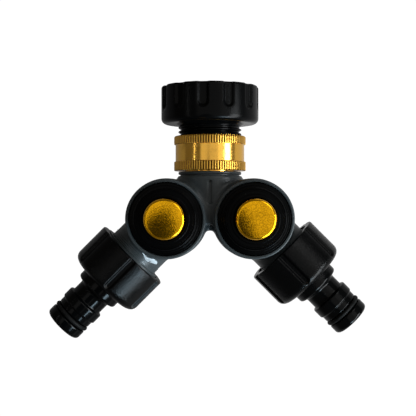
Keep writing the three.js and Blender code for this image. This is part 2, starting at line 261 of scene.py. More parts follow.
class Finish(Graph):
    """A material on one Principled shader, patterned in Object coordinates."""

    def __init__(self, name, constants):
        self.material = bpy.data.materials.new(name)
        self.material.use_nodes = True
        super().__init__(self.material.node_tree)
        self.shader = self.tree.nodes["Principled BSDF"]
        for key, value in constants.items():
            self.shader.inputs[key].default_value = value
        self.place = self.node("ShaderNodeTexCoord", output=3)

    def noise(self, size, detail=2.0, stretch=(1, 1, 1)):
        """Noise with grains about size across, in metres, made longer where stretch is small."""
        mapped = self.node("ShaderNodeMapping", inputs={"Vector": self.place, "Scale": stretch})
        inputs = {"Vector": mapped, "Scale": 1 / size, "Detail": detail}
        return self.node("ShaderNodeTexNoise", inputs=inputs)

    def mixed(self, factor, low, high):
        """A colour between two, by a factor."""
        return self.node("ShaderNodeMix", {"data_type": "RGBA"}, {0: factor, 6: low, 7: high}, output=2)

    def feed(self, key, term):
        self.tree.links.new(term.socket, self.shader.inputs[key])

    def bump(self, height, distance, strength=1.0):
        inputs = {"Height": height, "Distance": distance, "Strength": strength}
        self.feed("Normal", self.node("ShaderNodeBump", inputs=inputs))


def moulded_black(name, gloss, grained=False):
    """Injection-moulded black plastic: faint flow marks in the gloss, a fine grain and a few specks of dust.

    Grained plastic is for a hose tail: coarse on its nut, and polished on its spigot.
    """
    shade = settings().colours.black
    finish = Finish(name, {"IOR": 1.47, "Specular IOR Level": gloss})
    flow = finish.noise(0.009, 3.0)
    fine = finish.noise(0.0005, 2.0)
    dust = finish.noise(0.0011, 4.0).step(0.735, 0.775)
    grain, polish = 0.04, 0
    if grained:
        x, y, z = finish.parts(finish.place)
        along_arm = (abs(x) - z + ARM_ROOT.z) * math.sqrt(0.5)
        nut_end = (TAIL_MOUTH["left"] + TAIL["shoulder"]) * MM
        polish = along_arm.step(nut_end - 0.0015, nut_end)
        grain = (1 - polish) * 2.8 + 0.02
    finish.feed("Base Color", finish.mixed(dust * 0.5, rgba(shade), (0.03, 0.032, 0.035, 1)))
    finish.feed("Roughness", flow * 0.12 + fine * 0.06 + dust * 0.3 + 0.13 - polish * 0.09)
    finish.bump(flow * 0.8 + fine * grain, 0.00012, 0.35)
    return finish.material


def black_plastic():
    return moulded_black("black_plastic", 0.07)


def dull_black_plastic():
    return moulded_black("dull_black_plastic", 0.04)


def grained_black_plastic():
    return moulded_black("grained_black_plastic", 0.1, True)


def grey_plastic():
    """Satin dark grey plastic with a fine spark-eroded grain."""
    shade = settings().colours.grey
    finish = Finish("grey_plastic", {"IOR": 1.48, "Specular IOR Level": 0.22})
    cloud = finish.noise(0.006, 3.0)
    grain = finish.noise(0.00035, 2.0)
    finish.feed("Base Color", finish.mixed(cloud, rgba(shade, 0.85), rgba(shade, 1.2)))
    finish.feed("Roughness", cloud * 0.14 + grain * 0.1 + 0.22)
    finish.bump(grain * 0.5 + cloud, 0.00005, 0.35)
    return finish.material


def turned_brass():
    """Brass as it leaves the lathe: bright, with fine tool lines round it, slight tarnish, and painted shade
    that darkens the knurled bands and most of all the cuts between their teeth.
    """
    shade = settings().colours.brass
    finish = Finish("turned_brass", {"Metallic": 1.0})
    lines = finish.noise(0.00022, 3.0, (0.004, 0.004, 1))
    spots = finish.noise(0.004, 4.0).step(0.55, 0.75)
    x, y, z = finish.parts(finish.place)
    on_band = ((x * x + y * y) ** 0.5).step((NUT_WAIST + 0.08) * MM, (NUT_WAIST + 0.18) * MM)
    turns = y.math("ARCTAN2", x) * (settings().knurl.teeth / (2 * math.pi))
    # painted shade: a mask of the cuts between the teeth of the knurled bands
    cut_shade = (1 - (abs(turns - turns.math("ROUND")) * 2).step(0.25, 0.7)) * on_band
    worn = finish.mixed(spots * 0.6, rgba(shade), rgba(shade, 0.72))
    # painted shade: the knurled bands are darkened a little and the cuts between teeth much more, standing in
    # for the shade inside the knurl
    finish.feed("Base Color", finish.mixed(on_band * 0.22 + cut_shade * 0.74, worn, (0.06, 0.02, 0.003, 1)))
    finish.feed("Roughness", lines * 0.1 + spots * 0.06 + on_band * 0.16 + 0.12)
    finish.bump(lines, 0.00001, 0.08)
    return finish.material


def gold_button():
    """Satin brass button: a blasted face with a fine speckle, darker in broad clouds."""
    shade = settings().colours.gold
    finish = Finish("gold_button", {"Metallic": 1.0})
    speckle = finish.noise(0.00042, 2.0)
    cloud = finish.noise(0.005, 3.0)
    tint = cloud * 0.3 + speckle * 0.7
    finish.feed("Base Color", finish.mixed(tint.step(0.34, 0.66), rgba(shade, 0.55), rgba(shade, 1.05)))
    finish.feed("Roughness", speckle * 0.12 + 0.08)
    finish.bump(speckle, 0.00006, 0.4)
    return finish.material


def drawn_steel():
    """Drawn stainless steel with fine lines along the valve's axis."""
    shade = settings().colours.steel
    finish = Finish("drawn_steel", {"Metallic": 1.0})
    lines = finish.noise(0.0002, 2.0, (1, 0.05, 1))
    finish.feed("Base Color", finish.mixed(lines, rgba(shade, 0.85), rgba(shade, 1.1)))
    finish.feed("Roughness", lines * 0.15 + 0.2)
    finish.bump(lines, 0.00001, 0.4)
    return finish.material


def soft_rubber():
    """Moulded black rubber with a dusty bloom."""
    shade = settings().colours.rubber
    finish = Finish("soft_rubber", {"IOR": 1.5, "Specular IOR Level": 0.06})
    bloom = finish.noise(0.002, 4.0)
    finish.feed("Base Color", finish.mixed(bloom.step(0.4, 0.8), rgba(shade), rgba(shade, 2.2)))
    finish.feed("Roughness", bloom * 0.3 + 0.38)
    finish.bump(bloom, 0.00004, 0.4)
    return finish.material


def natural_acetal():
    """Milky slippery plastic of the latch."""
    shade = settings().colours.acetal
    milk = {"IOR": 1.48, "Subsurface Weight": 0.15, "Subsurface Radius": (0.002,) * 3}
    finish = Finish("natural_acetal", milk)
    cloud = finish.noise(0.003, 3.0)
    finish.feed("Base Color", finish.mixed(cloud, rgba(shade, 0.92), rgba(shade, 1.06)))
    finish.feed("Roughness", cloud * 0.2 + 0.3)
    finish.bump(cloud, 0.00005, 0.3)
    return finish.material


def printed_ink():
    """Pad-printed white mark, worn thin in places."""
    shade = settings().colours.ink
    finish = Finish("printed_ink", {"IOR": 1.45})
    wear = finish.noise(0.0009, 4.0).step(0.58, 0.72)
    finish.feed("Base Color", finish.mixed(wear, rgba(shade), rgba(shade, 0.25)))
    finish.feed("Roughness", wear * 0.2 + 0.4)
    finish.bump(wear, 0.00003, 0.5)
    return finish.material


FINISHES = {
    "black_plastic": black_plastic,
    "dull_black_plastic": dull_black_plastic,
    "grained_black_plastic": grained_black_plastic,
    "grey_plastic": grey_plastic,
    "brass": turned_brass,
    "gold_button": gold_button,
    "steel": drawn_steel,
    "rubber": soft_rubber,
    "white_plastic": natural_acetal,
    "ink": printed_ink,
}
made_finishes = {}


def finish_for(slot):
    if slot not in made_finishes:
        made_finishes[slot] = FINISHES[slot]()
    return made_finishes[slot]


# -----------------------------------------------------------------------------
# Outlines and turned shapes
# -----------------------------------------------------------------------------
ARC_STEPS = 5
RUN_OUT = 0.35  # a short straight stretch past each arc, as a share of its radius, keeps flats flat


def rounded(corners):
    """Turns corners (radius, height, fillet) of a closed outline into points, with an arc at each fillet."""
    points = []
    for i, (r, h, fillet) in enumerate(corners):
        here = Vector((r, h))
        if not fillet:
            points.append(here)
            continue
        before = Vector(corners[i - 1][:2]) - here
        after = Vector(corners[(i + 1) % len(corners)][:2]) - here
        half = before.angle(after) / 2
        tangent = fillet / math.tan(half)
        first, last = before.normalized(), after.normalized()
        centre = here + (first + last).normalized() * (fillet / math.sin(half))
        start, end = here + first * tangent - centre, here + last * tangent - centre
        sweep = start.angle_signed(end)
        points.append(centre + start + first * fillet * RUN_OUT)
        for step in range(ARC_STEPS + 1):
            points.append(centre + Matrix.Rotation(-sweep * step / ARC_STEPS, 2) @ start)
        points.append(centre + end + last * fillet * RUN_OUT)
    return [(p.x, p.y) for p in points]


def filled_in(points, longest, within):
    """Splits the long stretches of an outline whose middle radius and height are inside a box."""
    (r_low, r_high), (h_low, h_high) = within
    slack = 0.01  # takes in a wall that lies on the box's side
    out = []
    for (r, h), (next_r, next_h) in zip(points, points[1:] + points[:1]):
        out.append((r, h))
        mid_r, mid_h = (r + next_r) / 2, (h + next_h) / 2
        if r_low - slack <= mid_r <= r_high + slack and h_low <= mid_h <= h_high:
            count = math.ceil(math.hypot(next_r - r, next_h - h) / longest)
            out += [(r + (next_r - r) * k / count, h + (next_h - h) * k / count) for k in range(1, count)]
    return out


def turned(points, columns=96):
    """A closed mesh turned from an outline about Z. An outline that meets the axis starts and ends on it."""
    bm = bmesh.new()
    around = [2 * math.pi * k / columns for k in range(columns)]
    rings = []
    for r, h in points:
        spots = [(0, 0, h)] if r < 1e-6 else [(r * math.cos(a), r * math.sin(a), h) for a in around]
        rings.append([bm.verts.new(spot) for spot in spots])
    pairs = list(zip(rings, rings[1:]))
    if points[0][0] > 1e-6:
        pairs.append((rings[-1], rings[0]))
    for low, high in pairs:
        for k in range(columns):
            n = (k + 1) % columns
            ends = (low[k % len(low)], low[n % len(low)], high[n % len(high)], high[k % len(high)])
            corners = list(dict.fromkeys(ends))
            if len(corners) > 2:
                bm.faces.new(corners)
    if bm.calc_volume(signed=True) < 0:
        bmesh.ops.reverse_faces(bm, faces=bm.faces)
    mesh = bpy.data.meshes.new("turned")
    bm.to_mesh(mesh)
    bm.free()
    return mesh


def joined(meshes):
    """One mesh from several."""
    bm = bmesh.new()
    for mesh in meshes:
        bm.from_mesh(mesh)
        bpy.data.meshes.remove(mesh)
    whole = bpy.data.meshes.new("joined")
    bm.to_mesh(whole)
    bm.free()
    return whole


def flat_ring(inner, outer, low, high, fillet):
    """The outline of a flat ring, with the same fillet on all its edges."""
    corners = ((inner, low), (outer, low), (outer, high), (inner, high))
    return rounded([(r, h, fillet) for r, h in corners])


def torus_outline(radius, section, height, steps=16):
    around = [2 * math.pi * k / steps for k in range(steps)]
    return [(radius + section * math.cos(a), height + section * math.sin(a)) for a in around]


SHARP = math.radians(38)


def add_piece(name, mesh, place, body, slot, nodes=(), finish=None):
    """Makes a finished piece from a mesh: lays it in the frame, and gives it its finish and its body."""
    mesh.name = name
    mesh.transform(place)
    mesh.shade_smooth()
    mesh.set_sharp_from_angle(angle=SHARP)
    mesh.materials.clear()
    mesh.materials.append(finish or finish_for(slot))
    piece = bpy.data.objects.new(name, mesh)
    bpy.context.collection.objects.link(piece)
    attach(piece, body)
    if nodes:
        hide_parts(*nodes)
    return piece


# -----------------------------------------------------------------------------
# Geometry Nodes
# -----------------------------------------------------------------------------
class Shaper(Graph):
    """A Geometry Nodes tree with named number inputs that ends in Realize Instances and Set Material."""

    def __init__(self, name, inputs):
        tree = bpy.data.node_groups.new(name, "GeometryNodeTree")
        super().__init__(tree)
        face = tree.interface
        face.new_socket("Geometry", in_out="INPUT", socket_type="NodeSocketGeometry")
        self.keys = {key: self.add_input(face, key, "NodeSocketFloat") for key in inputs}
        self.keys["Finish"] = self.add_input(face, "Finish", "NodeSocketMaterial")
        face.new_socket("Geometry", in_out="OUTPUT", socket_type="NodeSocketGeometry")
        self.entry = tree.nodes.new("NodeGroupInput")

    @staticmethod
    def add_input(face, name, kind):
        """Adds an input and gives its identifier."""
        return face.new_socket(name, in_out="INPUT", socket_type=kind).identifier

    def __getitem__(self, key):
        return Term(self, self.entry.outputs[key])

    def close(self, geometry):
        whole = self.node("GeometryNodeRealizeInstances", inputs={0: geometry})
        inputs = {"Geometry": whole, "Material": self["Finish"]}
        result = self.node("GeometryNodeSetMaterial", inputs=inputs)
        exit_node = self.tree.nodes.new("NodeGroupOutput")
        self.tree.links.new(result.socket, exit_node.inputs[0])

    def polar(self):
        """Position as x, y, z, radius and angle about Z."""
        x, y, z = self.parts(self.node("GeometryNodeInputPosition"))
        return x, y, z, (x * x + y * y) ** 0.5, y.math("ARCTAN2", x)

    def pull_in(self, x, y, radius, depth):
        """Moves every point towards the axis by a depth."""
        share = depth / radius * -1
        offset = self.node("ShaderNodeCombineXYZ", inputs={0: x * share, 1: y * share})
        return self.node("GeometryNodeSetPosition", inputs={"Geometry": self["Geometry"], "Offset": offset})

    def run(self, mesh, values, slot):
        """The mesh that this tree makes of another, with its inputs set by their identifiers."""
        holder = bpy.data.objects.new("holder", mesh)
        bpy.context.collection.objects.link(holder)
        modifier = holder.modifiers.new("shaper", "NODES")
        modifier.node_group = self.tree
        for key, value in values.items():
            modifier[self.keys[key]] = float(value)
        modifier[self.keys["Finish"]] = finish_for(slot)
        holder.update_tag()
        depsgraph = bpy.context.evaluated_depsgraph_get()
        shaped = bpy.data.meshes.new_from_object(holder.evaluated_get(depsgraph))
        bpy.data.objects.remove(holder)
        bpy.data.meshes.remove(mesh)
        return shaped


def grip_shaper():
    """U-shaped grooves set round a wall, open at the mouth and rounded at their far end."""
    keys = ("Count", "Phase", "Width", "Length", "Depth", "Edge", "Mouth", "Direction", "Kept", "Wall")
    tree = Shaper("grip_grooves", keys)
    x, y, z, radius, angle = tree.polar()
    step = 2 * math.pi / tree["Count"]
    turns = (angle - tree["Phase"]) / step
    across = (turns - turns.math("ROUND")) * step * radius
    half = tree["Width"] * 0.5
    past = ((z - tree["Mouth"]) * tree["Direction"] - (tree["Length"] - half)).math("MAXIMUM", 0.0)
    inside = half - (across * across + past * past) ** 0.5
    dip = inside.step(0.0, tree["Edge"]) * tree["Depth"]
    wall = radius.step(tree["Kept"], tree["Wall"])
    tree.close(tree.pull_in(x, y, radius, dip * wall))
    return tree


def knurl_shaper():
    """Straight cuts round the widest bands of a nut."""
    tree = Shaper("knurl", ("Teeth", "Depth", "Waist", "Band"))
    x, y, z, radius, angle = tree.polar()
    turns = angle * tree["Teeth"] / (2 * math.pi)
    from_cut = abs(turns - turns.math("ROUND")) * 2
    cut = 1 - from_cut.step(0.08, 0.6)
    wall = radius.step(tree["Waist"], tree["Band"])
    tree.close(tree.pull_in(x, y, radius, cut * tree["Depth"] * wall))
    return tree


def thread_shaper():
    """A right-hand thread on a wall: its crests stay and its roots are pulled in, or out by a minus depth."""
    tree = Shaper("thread", ("Pitch", "Depth", "From", "To", "Wall low", "Wall high"))
    x, y, z, radius, angle = tree.polar()
    turns = z / tree["Pitch"] - angle / (2 * math.pi)
    crest = abs(turns - turns.math("FLOOR") - 0.5) * 2
    run_out = z.step(tree["From"], tree["From"] + 0.8) * (1 - z.step(tree["To"] - 0.8, tree["To"]))
    wall = radius.math("GREATER_THAN", tree["Wall low"]) * radius.math("LESS_THAN", tree["Wall high"])
    root = (1 - crest.step(0.05, 0.9)) * tree["Depth"] * run_out * wall
    tree.close(tree.pull_in(x, y, radius, root))
    return tree


def coil_shaper():
    """A wire coil about Z, with its ends at two heights."""
    tree = Shaper("coil", ("Turns", "Radius", "Wire", "From", "To"))
    options = {"Resolution": 32, "Rotations": tree["Turns"], "Start Radius": tree["Radius"]}
    options |= {"End Radius": tree["Radius"], "Height": tree["To"] - tree["From"]}
    path = tree.node("GeometryNodeCurveSpiral", inputs=options)
    section = tree.node("GeometryNodeCurvePrimitiveCircle", inputs={"Resolution": 14, "Radius": tree["Wire"]})
    inputs = {"Curve": path, "Profile Curve": section, "Fill Caps": True}
    wire = tree.node("GeometryNodeCurveToMesh", inputs=inputs)
    lift = tree.node("ShaderNodeCombineXYZ", inputs={2: tree["From"]})
    tree.close(tree.node("GeometryNodeTransform", inputs={"Geometry": wire, "Translation": lift}))
    return tree


def spoke_shaper():
    """Small blocks set round the axis on an arc."""
    keys = ("Count", "First", "Step", "Radius", "Width", "Reach", "Height", "At")
    tree = Shaper("spokes", keys)
    spots = tree.node("GeometryNodeMeshLine", inputs={"Count": tree["Count"]})
    index = tree.node("GeometryNodeInputIndex")
    angle = tree["First"] + index * tree["Step"]
    x = angle.math("COSINE") * tree["Radius"]
    y = angle.math("SINE") * tree["Radius"]
    where = tree.node("ShaderNodeCombineXYZ", inputs={0: x, 1: y, 2: tree["At"]})
    placed = tree.node("GeometryNodeSetPosition", inputs={"Geometry": spots, "Position": where})
    size = tree.node("ShaderNodeCombineXYZ", inputs={0: tree["Reach"], 1: tree["Width"], 2: tree["Height"]})
    block = tree.node("GeometryNodeMeshCube", inputs={"Size": size})
    turn = tree.node("ShaderNodeCombineXYZ", inputs={2: angle})
    inputs = {"Points": placed, "Instance": block, "Rotation": turn}
    tree.close(tree.node("GeometryNodeInstanceOnPoints", inputs=inputs))
    return tree


# -----------------------------------------------------------------------------
# A moulded skin, worked out from distances to simple solids, in millimetres
# -----------------------------------------------------------------------------
def rod(p, start, along, low, high, radius, edge=0.0):
    """Distance to a round bar with rounded edges, between two distances along an axis."""
    offset = p - start
    height = offset @ along
    reach = np.sqrt(np.maximum((offset * offset).sum(-1) - height * height, 0))
    side = reach - (radius - edge)
    end = np.abs(height - (low + high) / 2) - ((high - low) / 2 - edge)
    return np.minimum(np.maximum(side, end), 0) + np.hypot(np.maximum(side, 0), np.maximum(end, 0)) - edge


def block(p, low, high, edge=0.0):
    """Distance to a box with rounded edges."""
    low, high = np.array(low, float), np.array(high, float)
    q = np.abs(p - (low + high) / 2) - ((high - low) / 2 - edge)
    return np.minimum(q.max(-1), 0) + np.linalg.norm(np.maximum(q, 0), axis=-1) - edge


def melted(a, b, reach):
    """Two solids joined with a fillet about reach wide."""
    share = np.clip(0.5 + 0.5 * (b - a) / reach, 0, 1)
    return b * (1 - share) + a * share - reach * share * (1 - share)


def skin_of(distance, low, high, cell):
    """A closed mesh on a solid's surface, with a point for each cell of a grid that the surface crosses."""
    axes = [np.arange(a, b + cell, cell) for a, b in zip(low, high)]
    grid = np.stack(np.meshgrid(*axes, indexing="ij"), -1)
    shape = grid.shape[:3]
    field = distance(grid.reshape(-1, 3)).reshape(shape)
    size = int(np.prod(shape))
    total, count = np.zeros((size, 3)), np.zeros(size)
    quads = []
    for axis in range(3):
        first = np.take(field, range(shape[axis] - 1), axis)
        second = np.take(field, range(1, shape[axis]), axis)
        spots = np.argwhere((first < 0) != (second < 0))
        a, b = first[tuple(spots.T)], second[tuple(spots.T)]
        points = grid[tuple(spots.T)].copy()
        points[:, axis] += a / (a - b) * cell
        u, v = np.eye(3, dtype=int)[(axis + 1) % 3], np.eye(3, dtype=int)[(axis + 2) % 3]
        cells = [np.ravel_multi_index((spots + step).T, shape) for step in (-u - v, -v, 0 * u, -u)]
        for index in cells:
            count += np.bincount(index, minlength=size)
            for k in range(3):
                total[:, k] += np.bincount(index, points[:, k], minlength=size)
        quad = np.stack(cells, 1)
        quad[a > 0] = quad[a > 0][:, ::-1]
        quads.append(quad)
    used = np.flatnonzero(count)
    points = total[used] / count[used, None]
    number = np.zeros(size, int)
    number[used] = np.arange(len(used))
    for _ in range(4):
        points -= np.clip(pull(distance, points), -cell, cell)
    mesh = bpy.data.meshes.new("skin")
    mesh.from_pydata(points.tolist(), [], number[np.concatenate(quads)].tolist())
    return mesh


def pull(distance, points, probe=0.02):
    """The step that brings points to a surface, along its slope."""
    steps = np.eye(3) * probe
    slope = np.stack([distance(points + s) - distance(points - s) for s in steps], 1) / (2 * probe)
    return distance(points)[:, None] * slope / np.maximum((slope * slope).sum(-1), 0.25)[:, None]


# -----------------------------------------------------------------------------
# Shared sizes, in millimetres
# -----------------------------------------------------------------------------
WATER_WAY = 6.4
CREST = 13.22  # radius of the 3/4 inch male threads
THREAD_PLAY = 0.22  # between a male thread and the nut on it
NUT_WAIST = 14.4  # radius of the brass nut between its bands
NUT_BAND = 15.0
FINE = 0.15  # fillet that just takes the edge off


def threaded(outline, start, end, low, high, pitch, depth, slot, columns=96):
    """A turned ring with a thread on the wall between two radii, from one height to another."""
    inner, outer = min(low, high), max(low, high)
    rows = filled_in(outline, pitch / 12, ((inner, outer), (start, end)))
    values = {"Pitch": pitch, "Depth": depth, "From": start, "To": end, "Wall low": inner, "Wall high": outer}
    return thread_shaper().run(turned(rows, columns), values, slot)


def male_thread(outline, start, end, slot="black_plastic"):
    sizes = settings().threads
    pitch, depth = sizes.male_pitch / MM, sizes.male_depth / MM
    return threaded(outline, start, end, CREST - 0.5, CREST + 0.5, pitch, depth, slot)


def female_thread(start, end, backing, slot):
    """The threaded lining of a nut that fits the 3/4 inch male threads."""
    sizes = settings().threads
    wall = CREST + THREAD_PLAY
    outline = [(wall, start), (backing, start), (backing, end), (wall, end)]
    pitch, depth = sizes.male_pitch / MM, sizes.male_depth / MM
    return threaded(outline, start, end, wall - 0.1, wall + 0.1, pitch, depth, slot)


# -----------------------------------------------------------------------------
# Inlet
# -----------------------------------------------------------------------------
class SPLITTER_OT_tap_adapter(Operator):
    """Build the black adapter: grooved collar, tap thread and male thread"""
    bl_idname = "splitter.tap_adapter"
    bl_label = "Tap adapter"

    def execute(self, context):
        grips, threads = settings().grips, settings().threads
        low, high = span("inlet_adapter", 2)
        outer = span("inlet_adapter", 1)[1]
        underside, socket, bore = -15.7, -12.0, 17.0
        cone, root = 14.3, 12.4  # the underside slopes to the root of the male thread
        collar = rounded(
            [
                (bore, high, 0.3),
                (outer, high, 0.9),
                (outer, underside, 2.2),
                (cone, underside, 0.6),
                (root, underside - 1.2, 0),
                (root, underside - 2, 0),
                (WATER_WAY, underside - 2, 0),
                (WATER_WAY, socket, FINE),
                (bore, socket, FINE),
            ]
        )
        rows = filled_in(collar, 0.4, ((outer - 0.5, outer), (underside, high)))
        shape = {
            "Count": grips.collar_count,
            "Phase": math.radians(22 - 90),
            "Width": grips.collar_width / MM,
            "Length": grips.collar_length / MM,
            "Depth": grips.collar_depth / MM,
            "Edge": 1.3,
            "Mouth": high,
            "Direction": -1,
            "Kept": 18.4,
            "Wall": 19.6,
        }
        grooved = grip_shaper().run(turned(rows, 384), shape, "black_plastic")
        crest, backing, mouth = 16.62, bore + 0.2, high - 0.9
        lining = [(crest, mouth), (backing, mouth), (backing, socket), (crest, socket)]
        reach = (socket + 0.3, mouth, crest - 0.1, crest + 0.1)
        sizes = (threads.tap_pitch / MM, threads.tap_depth / MM)
        tap_thread = threaded(lining, *reach, *sizes, "black_plastic")
        nipple = rounded(
            [
                (WATER_WAY, underside + 0.5, 0),
                (CREST, underside + 0.5, 0),
                (CREST, low, 0.5),
                (WATER_WAY, low, 0.3),
            ]
        )
        stub = male_thread(nipple, low + 0.5, underside - 0.2)
        whole = joined([grooved, tap_thread, stub])
        add_piece("tap_adapter", whole, UPRIGHT, "inlet", "black_plastic", ["inlet_adapter"])
        return {"FINISHED"}


class SPLITTER_OT_swivel_nut(Operator):
    """Build the brass nut with its knurled bands and female thread"""
    bl_idname = "splitter.swivel_nut"
    bl_label = "Swivel nut"

    def execute(self, context):
        knurl = settings().knurl
        low, high = span("swivel_nut", 2)
        band, waist, backing = NUT_BAND, NUT_WAIST, 13.9
        upper, lower, lip, hole = 3.5, 3.8, 1.8, 10.6
        shell = rounded(
            [
                (backing, high, 0.25),
                (band, high, 0.7),
                (band, high - upper, 0.3),
                (waist, high - upper - 0.1, 0.08),
                (waist, low + lower + 0.1, 0.08),
                (band, low + lower, 0.3),
                (band, low, 0.4),
                (hole, low, 0.2),
                (hole, low + lip, FINE),
                (backing, low + lip, FINE),
            ]
        )
        rows = filled_in(shell, 0.5, ((waist - 0.1, band), (low, high)))
        shape = {"Teeth": knurl.teeth, "Depth": knurl.depth / MM, "Waist": waist + 0.05, "Band": band - 0.15}
        bands = knurl_shaper().run(turned(rows, 8 * knurl.teeth), shape, "brass")
        thread = female_thread(low + lip + 0.4, high - 0.5, backing + 0.1, "brass")
        add_piece("brass_swivel_nut", joined([bands, thread]), UPRIGHT, "inlet", "brass", ["swivel_nut"])
        return {"FINISHED"}


def upright_ring(name, node, inner, body, slot, fillet):
    """A flat ring about Z as thick and as wide as its node."""
    low, high = span(node, 2)
    outer = span(node, 1)[1]
    ring = turned(flat_ring(inner, outer, low, high, fillet))
    add_piece(name, ring, UPRIGHT, body, slot, [node])


class SPLITTER_OT_inlet_seals(Operator):
    """Build the flat washers of the adapter and the nut"""
    bl_idname = "splitter.inlet_seals"
    bl_label = "Inlet washers"

    def execute(self, context):
        upright_ring("tap_washer", "adapter_washer", 9.5, "inlet", "rubber", 0.35)
        upright_ring("swivel_washer", "nut_washer", WATER_WAY, "inlet", "rubber", 0.35)
        return {"FINISHED"}


class SPLITTER_OT_tailpiece(Operator):
    """Build the flanged sleeve that the nut turns on, and its ring seal"""
    bl_idname = "splitter.tailpiece"
    bl_label = "Tailpiece"

    def execute(self, context):
        low, high = span("swivel_tailpiece", 2)
        ring_low, ring_high = span("tailpiece_o_ring", 2)
        ring = (ring_low + ring_high) / 2
        flange, sleeve, groove, half = 12.6, 10.3, 8.6, 0.95
        outline = rounded(
            [
                (WATER_WAY, high, 0.3),
                (flange, high, 0.3),
                (flange, high - 1.9, 0.2),
                (sleeve, high - 1.9, FINE),
                (sleeve, ring + half, FINE),
                (groove, ring + half, FINE),
                (groove, ring - half, FINE),
                (sleeve, ring - half, FINE),
                (sleeve, low, 0.4),
                (WATER_WAY, low, 0.3),
            ]
        )
        add_piece("tailpiece", turned(outline), UPRIGHT, "body", "brass", ["swivel_tailpiece"])
        seal = turned(torus_outline(9.5, 0.7, ring))
        add_piece("tailpiece_ring_seal", seal, UPRIGHT, "body", "rubber", ["tailpiece_o_ring"])
        return {"FINISHED"}


# -----------------------------------------------------------------------------
# Forked body
# -----------------------------------------------------------------------------
COLUMN = 13.5
COLUMN_TOP = -37.4
COLUMN_FOOT = -57.4
SOCKET = 10.5  # radius of the bore that the tailpiece turns in
SOCKET_FLOOR = -45.5
WEB = ((-3.2, -6, -60.2), (3.2, 9, -50))  # joins the casings under the column
SINK_MARK = ((-0.75, -COLUMN - 1, -49), (0.75, -COLUMN + 0.9, -39.6))  # slot down the column's front
CASING = 16.5
CASING_FRONT = -13.8
CASING_ROOMS = ((-30, -6.5, 13.3), (-8, -2.5, 11), (-4, 7, 8.6), (6, 10, 8.3), (9, 15, 7))  # from, to, radius
BELLY = 17.0  # the casings are a little wider towards the back
FEED = 2.8  # radius of the way from the socket to the back of a casing
ARM = 11.75
ARM_SHOULDER = 45.2
ARM_END = 54.9
SKIN_CELL = 0.62
UP, BACK = np.array([0.0, 0, 1]), np.array([0.0, 1, 0])
ORIGIN = np.zeros(3)


def body_distance(p):
    """Distance to the forked body without its rings and threads, in millimetres."""
    root = np.array(ARM_ROOT) / MM
    back = span("splitter_body", 1)[1]
    solid = rod(p, ORIGIN, UP, COLUMN_FOOT, COLUMN_TOP, COLUMN, 0.7)
    solid = melted(solid, block(p, *WEB, 0.8), 0.8)
    hollows = [
        rod(p, ORIGIN, UP, SOCKET_FLOOR, COLUMN_TOP + 2, SOCKET),
        rod(p, ORIGIN, UP, SOCKET_FLOOR - 3.5, COLUMN_TOP + 2, WATER_WAY),
        block(p, *SINK_MARK, 0.3),
    ]
    for side, sign in SIDES.items():
        valve = np.array(VALVE_AT[side]) / MM * (1, 0, 1)
        along = np.array([sign, 0, -1]) * math.sqrt(0.5)
        casing = rod(p, valve, BACK, CASING_FRONT, back, CASING, 1.3)
        arm = rod(p, root, along, 15, ARM_SHOULDER + 0.4, ARM, 0.2)
        belly = rod(p, valve, BACK, 3, back, BELLY, 1.5)
        solid = melted(solid, melted(np.minimum(casing, belly), arm, 1.6), 2.0)
        hollows += [rod(p, valve, BACK, low, high, radius) for low, high, radius in CASING_ROOMS]
        feed_from = np.array([0, 5, SOCKET_FLOOR - 1])
        feed_to = np.array([sign * 12.5, 13, valve[2]])
        reach = np.linalg.norm(feed_to - feed_from)
        hollows.append(rod(p, feed_from, (feed_to - feed_from) / reach, 0, reach, FEED))
        hollows.append(rod(p, root, along, 31, ARM_END + 5.1, WATER_WAY))
    return np.maximum(solid, -np.minimum.reduce(hollows))


def ring_outline():
    """The thin wall round a bonnet, and the threaded mouth behind it."""
    front, back, step = span("splitter_body", 1)[0], CASING_FRONT + 1, -15.0
    inner, outer, thread_room = 14.8, 16.1, 13.3
    return rounded(
        [
            (outer, front, 0.55),
            (outer, back, 0),
            (thread_room, back, 0),
            (thread_room, step, FINE),
            (inner, step, FINE),
            (inner, front, 0.45),
        ]
    )


def arm_end_outline():
    """Three fine ribs, the shoulder and the wall of an arm's thread."""
    hidden, crown, ribs = ARM - 0.1, ARM + 0.2, []
    for rib in range(3):
        at = ARM_SHOULDER - 2.6 + 0.8 * rib
        ribs += [(hidden, at, 0), (crown, at + 0.1, 0.05), (crown, at + 0.4, 0.05), (hidden, at + 0.5, 0)]
    return rounded(
        [
            (WATER_WAY, ARM_SHOULDER - 3, 0),
            (hidden, ARM_SHOULDER - 3, 0),
            *ribs,
            (hidden, ARM_SHOULDER, 0),
            (CREST, ARM_SHOULDER, 0.25),
            (CREST, ARM_END, 0.7),
            (WATER_WAY, ARM_END, 0.3),
        ]
    )


class SPLITTER_OT_forked_body(Operator):
    """Build the forked body: neck, casings, rings and threaded arms"""
    bl_idname = "splitter.forked_body"
    bl_label = "Forked body"

    def execute(self, context):
        neck_top = span("splitter_body", 2)[1]
        flange, groove, foot = 13.2, 12.4, neck_top - 2.4
        neck = rounded(
            [
                (SOCKET, neck_top, 0.2),
                (flange, neck_top, 0.4),
                (flange, neck_top - 1.1, 0.35),
                (groove, neck_top - 1.25, FINE),
                (groove, foot, 0),
                (SOCKET, foot, 0),
            ]
        )
        skin = skin_of(body_distance, (-43, -15, -85), (43, 19, -36), SKIN_CELL)
        skin.transform(UPRIGHT)
        parts = [skin, self.laid(turned(neck), UPRIGHT)]
        for side in SIDES:
            parts.append(self.laid(turned(ring_outline(), 192), at_valve(side)))
            thread = male_thread(arm_end_outline(), ARM_SHOULDER + 1.7, ARM_END - 0.5, "grey_plastic")
            parts.append(self.laid(thread, on_arm(side)))
        add_piece("forked_body", joined(parts), Matrix(), "body", "grey_plastic", ["splitter_body"])
        return {"FINISHED"}

    @staticmethod
    def laid(mesh, place):
        mesh.transform(place)
        return mesh


# -----------------------------------------------------------------------------
# Valves
# -----------------------------------------------------------------------------
BEZEL = -25.0  # the bonnets' flat front
BUTTON = 8.0


